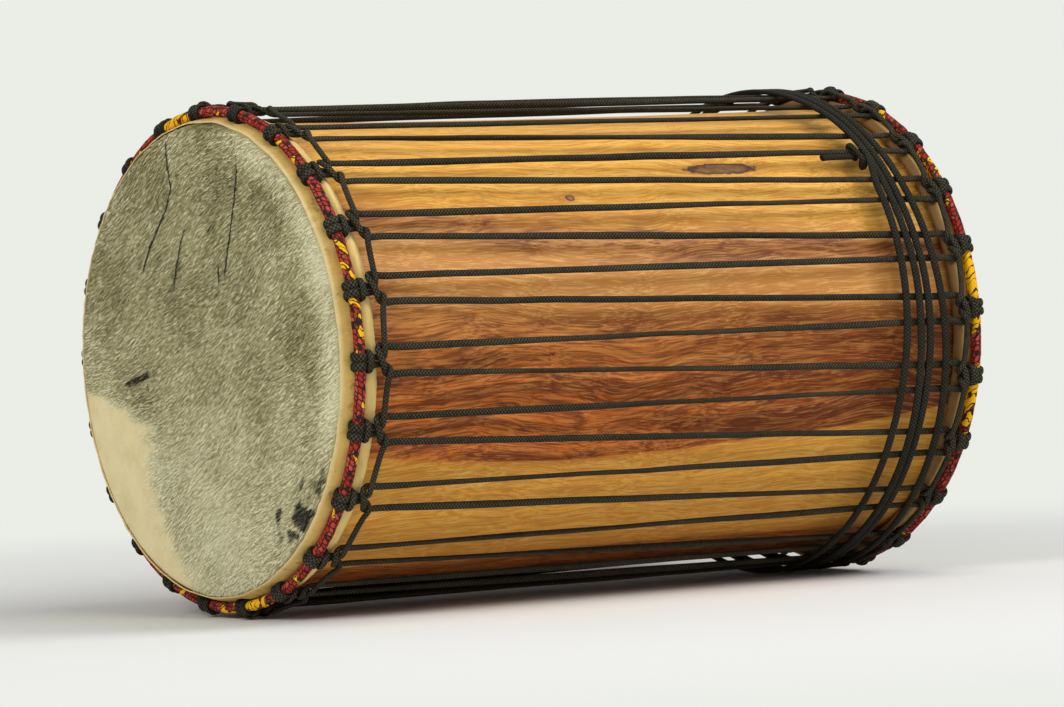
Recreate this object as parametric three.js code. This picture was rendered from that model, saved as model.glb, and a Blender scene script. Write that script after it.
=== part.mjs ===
import * as THREE from 'three';

// A large two-headed rope-tensioned log drum, lying on its side.
// All lengths are millimetres. The drum's axis runs along X with the playing head at -X,
// Z is up, and the origin is on the ground below the middle of the drum.

// Wooden shell
const shellLength = 690;
const shellEndRadius = 201;
const shellWaistDraw = 2.5;
const shellWall = 23;
const bearingEdgeRound = 6;
const mouthChamfer = 4;

// Heads
const skinThickness = 1.2;

// Steel rings under the skin edge and under the cloth
const fleshRodRadius = 3;
const crownRodRadius = 4;
const clothThickness = 0.7;
const crownDepth = 14;
const ringSlack = 1;

// Ropes
const cradleRopeRadius = 2;
const lacingRopeRadius = 2.5;
const lacingPairHalfWidth = 10.4;
const bightHalfWidth = 7.5;
const hitchBaseHalfWidth = 9.4;
const lacingRunIn = 10;

// Surplus rope wound round the lacing near the rear head
const windingFromRear = 71;
const windingTightPitch = 5.6;
const windingLoosePitch = 14.5;
const windingLean = 4;
const knotTailLength = 24;

// Running clearance between touching pieces
const clearance = 0.3;

// Counts and angles
const roundSegments = 36;
const hitchCount = 22;
const rearShiftShare = 0.72;
const knotHitch = 2;
const tuckHitch = 16;
const windingStepsPerTurn = 24;
const windingSteps = 86;
const windingStartTurns = 52.5 / 360;
const windingBunchTurns = 35 / 360;
const windingFanShare = 0.15;
const windingLeanTurns = 100 / 360;

const halfLength = shellLength / 2;
const hitchPitch = (2 * Math.PI) / hitchCount;
const fullTurn = 2 * Math.PI;

// Skin, flesh ring and crown ring nest outward from the shell
const skinInner = shellEndRadius + clearance;
const skinOuter = skinInner + skinThickness;
const fleshRadius = skinOuter + clearance + fleshRodRadius;
const fleshTube = fleshRodRadius + clearance + skinThickness;
const crownTube = crownRodRadius + clearance + clothThickness;
const hitchReach = crownTube + clearance + cradleRopeRadius;
const crownRadius = skinOuter + clearance + cradleRopeRadius + hitchReach;
const hexagonCorner = hitchReach / Math.cos(Math.PI / 6);
const ringSpacing = hexagonCorner + cradleRopeRadius + fleshTube + ringSlack;
const fleshDepth = crownDepth + Math.sqrt(ringSpacing ** 2 - (crownRadius - fleshRadius) ** 2);

// Rope levels over the flesh ring
const legRadius = fleshRadius + fleshTube + clearance + cradleRopeRadius;
const ropeStep = cradleRopeRadius + clearance + lacingRopeRadius;
const bightRadius = legRadius + ropeStep;
const bightDepth = fleshDepth + lacingRopeRadius;
const runRadius = fleshRadius + fleshTube + clearance + lacingRopeRadius;
const cornerDepth = bightDepth + ropeStep + lacingRopeRadius;
const runDepth = cornerDepth + lacingRunIn / 2;
const cornerShare = (runDepth - cornerDepth) / (runDepth - bightDepth);
const cornerRadius = runRadius + (bightRadius - runRadius) * cornerShare + ropeStep + 2 * clearance;
const cornerHalfWidth = lacingPairHalfWidth + (bightHalfWidth - lacingPairHalfWidth) * cornerShare;

const materials = {
  wood: new THREE.MeshStandardMaterial({ color: 0xa8612c, roughness: 0.38, metalness: 0 }),
  hide: new THREE.MeshStandardMaterial({ color: 0x97917c, roughness: 0.85, metalness: 0 }),
  steel: new THREE.MeshStandardMaterial({ color: 0x77726b, roughness: 0.45, metalness: 1 }),
  cloth: new THREE.MeshStandardMaterial({ color: 0xa62b2a, roughness: 0.9, metalness: 0 }),
  rope: new THREE.MeshStandardMaterial({ color: 0x24231e, roughness: 0.7, metalness: 0 }),
};

function addMesh(group, name, geometry, kind) {
  const mesh = new THREE.Mesh(geometry, materials[kind].clone());
  mesh.name = name;
  group.add(mesh);
  return mesh;
}

// Points of an arc in the lathe plane, from one angle to another in equal steps
function arc(centreR, centreY, radius, fromAngle, toAngle, steps) {
  const points = [];
  for (let k = 0; k <= steps; k += 1) {
    const angle = fromAngle + ((toAngle - fromAngle) * k) / steps;
    points.push(new THREE.Vector2(centreR + radius * Math.cos(angle), centreY + radius * Math.sin(angle)));
  }
  return points;
}

function lathe(points) {
  return new THREE.LatheGeometry(points, roundSegments);
}

function closedLathe(points) {
  return lathe([...points, points[0].clone()]);
}

// Hollow log with rounded bearing edges and a slight waist
function shellGeometry() {
  const quarter = Math.PI / 2;
  const round = bearingEdgeRound;
  const inner = shellEndRadius - shellWall;
  const edge = shellEndRadius - round;
  const end = halfLength - round;
  const points = [
    ...arc(edge, -end, round, -quarter, 0, 2),
    new THREE.Vector2(shellEndRadius - shellWaistDraw, 0),
    ...arc(edge, end, round, 0, quarter, 2),
    new THREE.Vector2(inner + mouthChamfer, halfLength),
    new THREE.Vector2(inner, halfLength - mouthChamfer),
    new THREE.Vector2(inner, mouthChamfer - halfLength),
    new THREE.Vector2(inner + mouthChamfer, -halfLength),
  ];
  return closedLathe(points);
}

// Skin of the front end: the flat head, the shoulder over the bearing edge, the skirt
// down the shell and the hem that is folded round the flesh ring
function skinGeometry() {
  const quarter = Math.PI / 2;
  const edge = shellEndRadius - bearingEdgeRound;
  const shoulderY = bearingEdgeRound - halfLength;
  const innerRound = bearingEdgeRound + clearance;
  const outerRound = innerRound + skinThickness;
  const ringY = fleshDepth - halfLength;
  const hemInner = fleshRodRadius + clearance;
  const hemOuter = hemInner + skinThickness;
  const hemStart = Math.PI;
  const hemEnd = -Math.PI / 3;
  return lathe([
    new THREE.Vector2(0, shoulderY - outerRound),
    ...arc(edge, shoulderY, outerRound, -quarter, 0, 2),
    ...arc(fleshRadius, ringY, hemInner, hemStart, hemEnd, 4),
    ...arc(fleshRadius, ringY, hemOuter, hemEnd, hemStart, 4),
    ...arc(edge, shoulderY, innerRound, 0, -quarter, 2),
    new THREE.Vector2(0, shoulderY - innerRound),
  ]);
}

// Round steel ring of the front end, six-sided in section
function rodGeometry(ringRadius, depth, rodRadius, firstCorner) {
  const points = arc(ringRadius, depth - halfLength, rodRadius, firstCorner, firstCorner + fullTurn, 6);
  return lathe(points);
}

// Cloth wound on the crown ring, with its seam on the side towards the shell
function clothGeometry() {
  const inner = crownRodRadius + clearance;
  const outer = inner + clothThickness;
  const seamStart = Math.PI + Math.PI / 6;
  const seamEnd = seamStart + (5 * Math.PI) / 3;
  const ringY = crownDepth - halfLength;
  return closedLathe([
    ...arc(crownRadius, ringY, outer, seamStart, seamEnd, 5),
    ...arc(crownRadius, ringY, inner, seamEnd, seamStart, 5),
  ]);
}

// A place on the drum: distance along its axis from the middle, radius and angle from the top
function place(along, radius, angle) {
  return new THREE.Vector3(radius * Math.sin(angle), along, radius * Math.cos(angle));
}

// A place at one end of the drum: width round the drum from a hitch, depth in from the end
function placeAtEnd(end, angle, width, depth, radius) {
  return place(end * (halfLength - depth), radius, angle + width / radius);
}

// Direction of a route at each of its points
function routeTangents(route, closed) {
  const count = route.length;
  return route.map((point, k) => {
    const before = closed || k > 0 ? route[(k - 1 + count) % count] : point;
    const after = closed || k < count - 1 ? route[(k + 1) % count] : point;
    const arrive = point.clone().sub(before).normalize();
    const leave = after.clone().sub(point).normalize();
    return arrive.add(leave).normalize();
  });
}

// Square-on direction carried along a route without turning round it, and evened out over a
// closed route so that its two ends agree
function routeNormals(route, tangents, closed) {
  const count = route.length;
  const normals = [new THREE.Vector3().crossVectors(tangents[0], route[0]).normalize()];
  for (let k = 1; k <= count; k += 1) {
    const turn = new THREE.Quaternion().setFromUnitVectors(tangents[k - 1], tangents[k % count]);
    normals.push(normals[k - 1].clone().applyQuaternion(turn));
  }
  const side = new THREE.Vector3().crossVectors(tangents[0], normals[0]);
  const twist = closed ? Math.atan2(normals[count].dot(side), normals[count].dot(normals[0])) : 0;
  return tangents.map((tangent, k) => normals[k].applyAxisAngle(tangent, (-twist * k) / count));
}

// Triangles between the rings of a tube, with flat caps on an open one
function tubeFaces(count, sides, closed) {
  const faces = [];
  const spans = closed ? count : count - 1;
  for (let k = 0; k < spans; k += 1) {
    const here = k * sides;
    const next = ((k + 1) % count) * sides;
    for (let s = 0; s < sides; s += 1) {
      const t = (s + 1) % sides;
      faces.push(here + s, here + t, next + t, here + s, next + t, next + s);
    }
  }
  if (!closed) {
    const last = (count - 1) * sides;
    for (let s = 1; s < sides - 1; s += 1) {
      faces.push(0, s + 1, s, last, last + s, last + s + 1);
    }
  }
  return faces;
}

// Tube of even section along a route, joined end to end when closed
function ropeGeometry(route, radius, sides, closed) {
  const tangents = routeTangents(route, closed);
  const normals = routeNormals(route, tangents, closed);
  const positions = [];
  route.forEach((point, k) => {
    for (let s = 0; s < sides; s += 1) {
      const spoke = normals[k].clone().applyAxisAngle(tangents[k], (fullTurn * s) / sides);
      positions.push(...point.clone().addScaledVector(spoke, radius).toArray());
    }
  });
  const geometry = new THREE.BufferGeometry();
  geometry.setAttribute('position', new THREE.Float32BufferAttribute(positions, 3));
  geometry.setIndex(tubeFaces(route.length, sides, closed));
  return geometry;
}

// Angle of a hitch on the front or rear crown ring
function hitchAngle(end, index) {
  const shift = end > 0 ? rearShiftShare : 0;
  return Math.PI + hitchPitch * (index + shift - hitchCount / 2 + 1 / 2);
}

// A place on the hexagon that the cradle rope follows round the crown ring
function onHexagon(corner, width) {
  const angle = (corner * fullTurn) / 6;
  const depth = crownDepth + hexagonCorner * Math.cos(angle);
  return [width, depth, crownRadius + hexagonCorner * Math.sin(angle)];
}

// Where the rope crosses over its own leg, which slants from the flesh ring to the crown ring
function crossingOver(saddle, top, width) {
  const rise = top[2] - saddle[2];
  const run = saddle[1] - top[1];
  const slope = Math.hypot(rise, run);
  const over = 2 * (cradleRopeRadius + clearance);
  const depth = (top[1] + saddle[1]) / 2 + (over * rise) / slope;
  return [width, depth, (top[2] + saddle[2]) / 2 + (over * run) / slope];
}

// One cow hitch: over the flesh ring, round the crown ring, back up between the rings and
// across its own legs. Each point is [width from the hitch, depth, radius] for the first leg.
function hitchLeg() {
  const leg = cradleRopeRadius + clearance;
  const top = onHexagon(1, -leg);
  const saddle = [-leg, fleshDepth + cradleRopeRadius / 2, legRadius];
  return [
    [-cornerHalfWidth, cornerDepth, cornerRadius],
    [-leg - cradleRopeRadius / 2, cornerDepth - cradleRopeRadius / 2, cornerRadius - cradleRopeRadius],
    [-leg, bightDepth + ropeStep, legRadius + clearance],
    saddle,
    top,
    onHexagon(2, -leg),
    onHexagon(3, -leg - cradleRopeRadius / 2),
    onHexagon(4, -2 * leg),
    onHexagon(5, -3 * leg),
    onHexagon(6, -hitchBaseHalfWidth),
    crossingOver(saddle, top, -2 * leg),
  ];
}

// Cradle rope of one end: a cow hitch at every lacing bight and straight runs between them
function cradleRoute(end) {
  const leg = hitchLeg();
  const back = [...leg].reverse().map(([width, depth, radius]) => [-width, depth, radius]);
  const route = [];
  for (let index = 0; index < hitchCount; index += 1) {
    for (const [width, depth, radius] of [...leg, ...back]) {
      route.push(placeAtEnd(end, hitchAngle(end, index), width, depth, radius));
    }
  }
  return route;
}

// One turn of the lacing rope round the neck of a hitch
function lacingBight(end, index) {
  const angle = hitchAngle(end, index);
  const points = [
    [-lacingPairHalfWidth, runDepth, runRadius],
    [-bightHalfWidth, bightDepth, bightRadius],
    [bightHalfWidth, bightDepth, bightRadius],
    [lacingPairHalfWidth, runDepth, runRadius],
  ];
  return points.map(([width, depth, radius]) => placeAtEnd(end, angle, width, depth, radius));
}

// Lacing rope, zigzagging between the front and rear hitches all the way round
function lacingRoute() {
  const route = [];
  for (let index = 0; index < hitchCount; index += 1) {
    route.push(...lacingBight(-1, index), ...lacingBight(1, index));
  }
  return route;
}

// Straight strand of the lacing that meets a front hitch on its upper side
function strandAbove(index) {
  const front = lacingBight(-1, index)[0];
  const rear = lacingBight(1, index - 1)[3];
  return [front, rear];
}

// Radius and angle of a strand at a distance along the drum
function strandAt([front, rear], along) {
  const point = front.clone().lerp(rear, (along - front.y) / (rear.y - front.y));
  return { radius: Math.hypot(point.x, point.z), angle: Math.atan2(point.x, point.z) };
}

// Distance along the drum of the winding, whose turns lie bunched at the top and fan out below
function windingAlong(turns) {
  const fromKnot = turns - windingStartTurns;
  const pastBunch = (turns + 1 - windingBunchTurns) % 1;
  const fan = Math.min(pastBunch / windingFanShare, (1 - pastBunch) / (1 - windingFanShare));
  const pitch = windingTightPitch + (windingLoosePitch - windingTightPitch) * fan;
  const middle = (windingSteps / windingStepsPerTurn) / 2;
  const lean = windingLean * Math.cos(fullTurn * (turns - windingLeanTurns));
  return halfLength - windingFromRear + (fromKnot - middle) * pitch - lean;
}

// Surplus rope: a tail and half hitch on one strand, turns round all the strands, and an end
// tucked under a strand at the back
function windingRoute() {
  const beside = 2 * (lacingRopeRadius + clearance);
  const corner = beside / Math.cos(Math.PI / 6);
  const ridge = runRadius + 2 * lacingRopeRadius + clearance;
  const turnRadius = ridge / Math.cos(Math.PI / windingStepsPerTurn);
  const near = (strand, middle, width, along, lift) => {
    const radius = strand.radius + lift;
    return place(middle + along, radius, strand.angle + width / radius);
  };

  const knotAlong = windingAlong(windingStartTurns);
  const knot = strandAt(strandAbove(knotHitch), knotAlong);
  const route = [
    near(knot, knotAlong, corner, -beside - knotTailLength, 0),
    near(knot, knotAlong, corner, -beside, 0),
    near(knot, knotAlong, corner / 2, -beside / 2, -beside),
    near(knot, knotAlong, -corner / 2, -beside / 4, -beside),
    near(knot, knotAlong, -corner, 0, 0),
    near(knot, knotAlong, -corner / 2, beside / 4, beside),
    near(knot, knotAlong, corner / 2, beside / 2, beside),
  ];

  for (let step = 0; step <= windingSteps; step += 1) {
    const turns = windingStartTurns + step / windingStepsPerTurn;
    route.push(place(windingAlong(turns), turnRadius, fullTurn * turns));
  }

  const endAlong = windingAlong(windingStartTurns + windingSteps / windingStepsPerTurn);
  const tuck = strandAt(strandAbove(tuckHitch), endAlong);
  route.push(
    near(tuck, endAlong, -corner - clearance, 0, 0),
    near(tuck, endAlong, -corner / 2, 0, -beside),
    near(tuck, endAlong, 2 * corner, 0, -beside),
  );
  return route;
}

// Smallest free space between two turns of the winding, measured on points along its route
function leastGapToItself(route, radius) {
  const perSegment = 8;
  const samples = [];
  for (let k = 0; k < route.length - 1; k += 1) {
    for (let s = 0; s < perSegment; s += 1) {
      samples.push(route[k].clone().lerp(route[k + 1], s / perSegment));
    }
  }
  const lengths = [0];
  for (let k = 1; k < samples.length; k += 1) {
    lengths.push(lengths[k - 1] + samples[k].distanceTo(samples[k - 1]));
  }
  const apart = 8 * radius;
  let least = Infinity;
  samples.forEach((point, k) => {
    for (let other = k + 1; other < samples.length; other += 1) {
      if (lengths[other] - lengths[k] > apart) {
        least = Math.min(least, point.distanceTo(samples[other]) - 2 * radius);
      }
    }
  });
  return least;
}

function buildDrum() {
  const drum = new THREE.Group();
  addMesh(drum, 'shell', shellGeometry(), 'wood');
  const ends = [['front', -1], ['rear', 1]];
  for (const [name, end] of ends) {
    const rings = new THREE.Group();
    rings.rotation.x = end > 0 ? Math.PI : 0;
    addMesh(rings, `${name}_skin`, skinGeometry(), 'hide');
    addMesh(rings, `${name}_flesh_ring`, rodGeometry(fleshRadius, fleshDepth, fleshRodRadius, 0), 'steel');
    const crown = rodGeometry(crownRadius, crownDepth, crownRodRadius, Math.PI / 6);
    addMesh(rings, `${name}_crown_ring`, crown, 'steel');
    addMesh(rings, `${name}_ring_cloth`, clothGeometry(), 'cloth');
    drum.add(rings);
    addMesh(drum, `${name}_cradle_rope`, ropeGeometry(cradleRoute(end), cradleRopeRadius, 4, true), 'rope');
  }
  addMesh(drum, 'lacing_rope', ropeGeometry(lacingRoute(), lacingRopeRadius, 5, true), 'rope');
  const winding = windingRoute();
  addMesh(drum, 'surplus_rope', ropeGeometry(winding, lacingRopeRadius, 6, false), 'rope');
  const leastGap = leastGapToItself(winding, lacingRopeRadius);
  console.log(`least gap of the winding to itself: ${leastGap.toFixed(2)} mm`);
  return drum;
}

// The lathes turn about Y, so the drum is laid down along X and lifted until its lowest rope
// touches the ground
const drum = buildDrum();
drum.rotation.z = -Math.PI / 2;
drum.position.z = -new THREE.Box3().setFromObject(drum, true).min.z;

const dunun = new THREE.Group();
dunun.add(drum);

export default dunun;
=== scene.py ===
import math

import bpy
import numpy as np
from mathutils import Matrix, Vector


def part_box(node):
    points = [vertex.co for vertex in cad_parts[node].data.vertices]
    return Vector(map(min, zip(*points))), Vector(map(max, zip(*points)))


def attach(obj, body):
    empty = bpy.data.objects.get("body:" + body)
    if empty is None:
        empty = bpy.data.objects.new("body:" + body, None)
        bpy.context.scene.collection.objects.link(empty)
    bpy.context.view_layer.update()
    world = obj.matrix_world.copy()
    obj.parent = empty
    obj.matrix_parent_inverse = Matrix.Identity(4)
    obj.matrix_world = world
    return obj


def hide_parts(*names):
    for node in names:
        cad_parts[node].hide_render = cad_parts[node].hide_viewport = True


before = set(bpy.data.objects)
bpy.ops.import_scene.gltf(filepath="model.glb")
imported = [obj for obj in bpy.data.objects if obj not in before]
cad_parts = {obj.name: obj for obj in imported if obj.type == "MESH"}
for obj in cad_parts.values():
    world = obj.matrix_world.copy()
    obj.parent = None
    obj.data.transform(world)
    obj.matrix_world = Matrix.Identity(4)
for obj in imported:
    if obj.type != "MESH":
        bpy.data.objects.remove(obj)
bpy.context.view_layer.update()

# A large rope-tensioned log drum lying on its side. Places on it are written in millimetres:
# along its axis from the middle, out from the axis, and round it from the top towards the side
# with the knot of the surplus rope. At an end, width runs round the drum from a hitch and depth
# runs in from the end of the shell.
MM = 0.001
AXIS_HEIGHT = (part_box("shell")[0][2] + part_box("shell")[1][2]) / 2
TURN = 2 * math.pi
ENDS = {"front": -1, "rear": 1}

# Shell
SHELL_HALF = 345.0
SHELL_RADIUS = 201.0
SHELL_WAIST = 2.5
SHELL_WALL = 23.0
EDGE_ROUND = 6.0
MOUTH_CHAMFER = 4.0
WAIST_DEPTH = 14.0
EDGE_RADIUS = SHELL_RADIUS - EDGE_ROUND

# Skin, rings and cloth. The hem ends at so many degrees round the flesh ring, and the cloth goes
# in so many turns round the crown ring, each lapping the last
SKIN_THICKNESS = 1.2
SKIN_GAP = 0.3
SKIN_INSIDE = EDGE_ROUND + SKIN_GAP
SKIN_OUTSIDE = SKIN_INSIDE + SKIN_THICKNESS
FLESH_DEPTH, FLESH_RADIUS = 28.6, 205.8
FLESH_TUBE, FLESH_ROD = 4.5, 3.0
HEM_END = 115
CROWN_DEPTH, CROWN_RADIUS = 14.0, 212.1
CLOTH_TUBE, CROWN_ROD = 5.0, 4.0
CLOTH_THICKNESS = 0.5
CLOTH_TURNS, CLOTH_LAP = 46, 0.35

# Hair: how far out it grows, how many hairs, their flow in degrees on the head and at its side,
# and the least and most of their sizes, on the coat and along the dark lines
HAIR_LINE = 203.0
HAIR_COUNT, HAIR_SEED = 60000, 101
HAIR_FLOW, SIDE_FLOW = -35, 17
HAIR_LENGTH, LINE_LENGTH = (4.2, 7.2), (4.5, 7.5)
HAIR_WIDTH, LINE_WIDTH = (0.40, 0.72), (0.6, 1.1)
HAIR_LIFT, LINE_LIFT = (0.5, 1.3), (1.5, 1.9)

# Steps of the meshes round the drum, and round the section of a ring or rope
SHELL_STEPS, SKIN_STEPS, HOOP_STEPS, CLOTH_STEPS = 288, 720, 360, 900
SECTION_STEPS, CRADLE_SIDES, LACING_SIDES = 16, 12, 14

# Ropes. The rear hitches lie a share of a pitch further round than the front ones, and each
# hitch strays some degrees from its even place
HITCHES = 22
HITCH_PITCH = TURN / HITCHES
ROPE_YARNS = 5.0
REAR_SHIFT = 0.72
FRONT_STRAY = (3.0, 2.4, 2.1, 1.4, 0.6, 0.4, -0.3, 0.3, 2.1, 1.8, 1.4)
FRONT_STRAY += (0.8, 0.2, -0.4, -0.6, -0.2, 0.4, 1.0, 1.8, 2.8, 3.6, 2.8)
REAR_STRAY = (2.5, 2.3, 1.5, 0.8, -0.2, -0.3, 0.1, 0.4, 2.2, 0.4, -0.4)
REAR_STRAY += (-0.8, -0.4, 0.3, 0.6, 0.2, -0.4, -0.6, 0.2, 1.0, 1.8, 2.6)
STRAND_BESIDE = 11.2
STRAND_RADIUS = 213.3
STRAND_WIDE, STRAND_THICK = 3.15, 2.05
WINDING_RADIUS = 218.2
WINDING_WIDE, WINDING_THICK = 3.8, 2.3
KNOT_WIDE, KNOT_THICK = 3.3, 2.3
KNOT_ALONG, KNOT_STRAND, TUCK_STRAND = 250.0, 2, 16


# Placing and meshing


def on_drum(along, radius, angle):
    along, radius, angle = np.broadcast_arrays(along, radius, angle)
    height = AXIS_HEIGHT + MM * radius * np.cos(angle)
    return np.stack([MM * along, -MM * radius * np.sin(angle), height], axis=-1)


def end_along(end, depth):
    return end * (SHELL_HALF - depth)


def steps_round(count):
    return np.arange(count) * TURN / count


def turned_away(angle, centre):
    """How far an angle lies from another, the short way round"""
    return (angle - centre + math.pi) % TURN - math.pi


def unit(vectors):
    return vectors / np.linalg.norm(vectors, axis=-1, keepdims=True)


def outward_from_axis(places):
    """Directions straight away from the drum's axis, at places in millimetres"""
    outward = places - (0, 0, AXIS_HEIGHT / MM)
    outward[:, 0] = 0
    return unit(outward)


def run_of(depths, radii):
    """Points of a profile, as (depth, radius)"""
    return np.stack(np.broadcast_arrays(depths, radii), axis=-1)


def arc(centre_depth, centre_radius, reach, start, end, steps):
    """Points of a profile round a centre; degrees from inward along the drum towards outward"""
    turn = np.radians(np.linspace(start, end, steps))
    return run_of(centre_depth + reach * np.cos(turn), centre_radius + reach * np.sin(turn))


def grid_faces(rows, columns, close_rows=False, close_columns=False):
    i = np.arange(rows if close_rows else rows - 1)
    j = np.arange(columns if close_columns else columns - 1)
    i, j = (part.ravel() for part in np.meshgrid(i, j, indexing="ij"))
    here, there = i * columns, (i + 1) % rows * columns
    next_j = (j + 1) % columns
    return np.stack([here + j, here + next_j, there + next_j, there + j], axis=-1)


def flip(faces, when=True):
    """Faces with their corners taken the other way round"""
    return faces[:, ::-1] if when else faces


def link_object(name, data):
    made = bpy.data.objects.new(name, data)
    bpy.context.scene.collection.objects.link(made)
    return made


def mesh_object(name, points, faces, material):
    mesh = bpy.data.meshes.new(name)
    faces = [list(map(int, face)) for face in faces]
    mesh.from_pydata(np.asarray(points, float).tolist(), [], faces)
    mesh.materials.append(material)
    return link_object(name, mesh)


def add_piece(name, points, faces, material, body="root"):
    piece = mesh_object(name, points, faces, material)
    piece.data.shade_smooth()
    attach(piece, body)
    return piece


def set_attribute(piece, name, values):
    made = piece.data.attributes.new(name, "FLOAT", "POINT")
    made.data.foreach_set("value", np.asarray(values, np.float32).ravel())


def lay_flat(piece, name, across, down, *grids):
    """A UV map that lays grids of faces flat, from the values across and down the grid"""
    flat = np.stack(np.meshgrid(across, down), axis=-1).reshape(-1, 2)
    corners = np.vstack(grids)
    uv = np.zeros((len(piece.data.loops), 2), np.float32)
    uv[: corners.size] = flat[corners.ravel()]
    piece.data.uv_layers.new(name=name).data.foreach_set("uv", uv.ravel())


def ripple(angle, along, seed, waves, longest_round, longest_along):
    """Smooth unevenness in about -1 to 1 that closes on itself round the drum"""
    rng = np.random.default_rng(seed)
    total = np.zeros(np.broadcast(angle, along).shape)
    for _ in range(waves):
        turns = rng.integers(1, longest_round)
        lengthwise = rng.uniform(-1, 1) * longest_along
        wave = np.sin(turns * angle + lengthwise * along + rng.uniform(0, TURN))
        total += wave / math.sqrt(waves)
    return total


# Colours, as linear red, green and blue
HAIR_DARK = (0.115, 0.098, 0.038)
HAIR_OLIVE = (0.34, 0.30, 0.135)
HAIR_GREY = (0.54, 0.495, 0.275)
HAIR_PALE = (0.80, 0.755, 0.51)
HAIR_BLACK = (0.012, 0.012, 0.014)
CREAM = (0.73, 0.62, 0.34)
OCHRE = (0.60, 0.44, 0.20)
TAN = (0.66, 0.44, 0.125)
TAN_DARK = (0.44, 0.25, 0.07)
# Paler hide with painted light, for the front flesh ring's crest
RING_CREAM_AND_LIGHT = (0.95, 0.70, 0.265)
STAIN = (0.27, 0.13, 0.045)
HIDE_SHADE = (0.17, 0.085, 0.03)
STEEL = (0.36, 0.34, 0.32)
RUST = (0.16, 0.08, 0.04)
# Ropes: worn grey-green yarn crowns with a painted highlight, grooves with painted shade
ROPE_GROOVE = (0.006, 0.0055, 0.004)
ROPE_CROWN = (0.067, 0.060, 0.038)
ROPE_WORN = (0.088, 0.074, 0.046)
WINDING_CROWN = (0.032, 0.030, 0.020)
WINDING_WORN = (0.043, 0.037, 0.024)
PRINT_RED = (0.40, 0.024, 0.014)
PRINT_ROSE = (0.50, 0.085, 0.055)
PRINT_BLACK = (0.018, 0.014, 0.013)
PRINT_YELLOW = (0.90, 0.47, 0.006)
SAP = (0.87, 0.45, 0.076)
# Sapwood low on the log: partly its own deeper orange, partly painted shade
SAP_LOW_SHADED = (0.79, 0.375, 0.050)
SAP_DEEP = (0.60, 0.25, 0.033)
SAP_GRAIN = (0.56, 0.215, 0.034)
HEART_LIGHT = (0.60, 0.26, 0.072)
HEART = (0.50, 0.185, 0.042)
HEART_WARM = (0.60, 0.17, 0.033)
HEART_RED = (0.66, 0.168, 0.026)
HEART_LOW = (0.49, 0.128, 0.021)
HEART_DUSK = (0.24, 0.056, 0.012)
HEART_DEEP = (0.17, 0.038, 0.010)
HEART_DARK = (0.09, 0.022, 0.008)
GRAIN_LIGHT = (0.95, 0.60, 0.17)
GRAIN_ORANGE = (0.72, 0.34, 0.085)
KNOT_BROWN = (0.33, 0.155, 0.055)
KNOT_TAN = (0.46, 0.24, 0.085)
KNOT_RIM = (0.085, 0.048, 0.032)
BACKDROP = (0.83, 0.845, 0.80)
WORLD_FILL = (0.28, 0.285, 0.275)
FLOOR_DARK = (0.83, 0.83, 0.815)
FLOOR_PALE = (0.86, 0.86, 0.845)


# Materials


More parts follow.
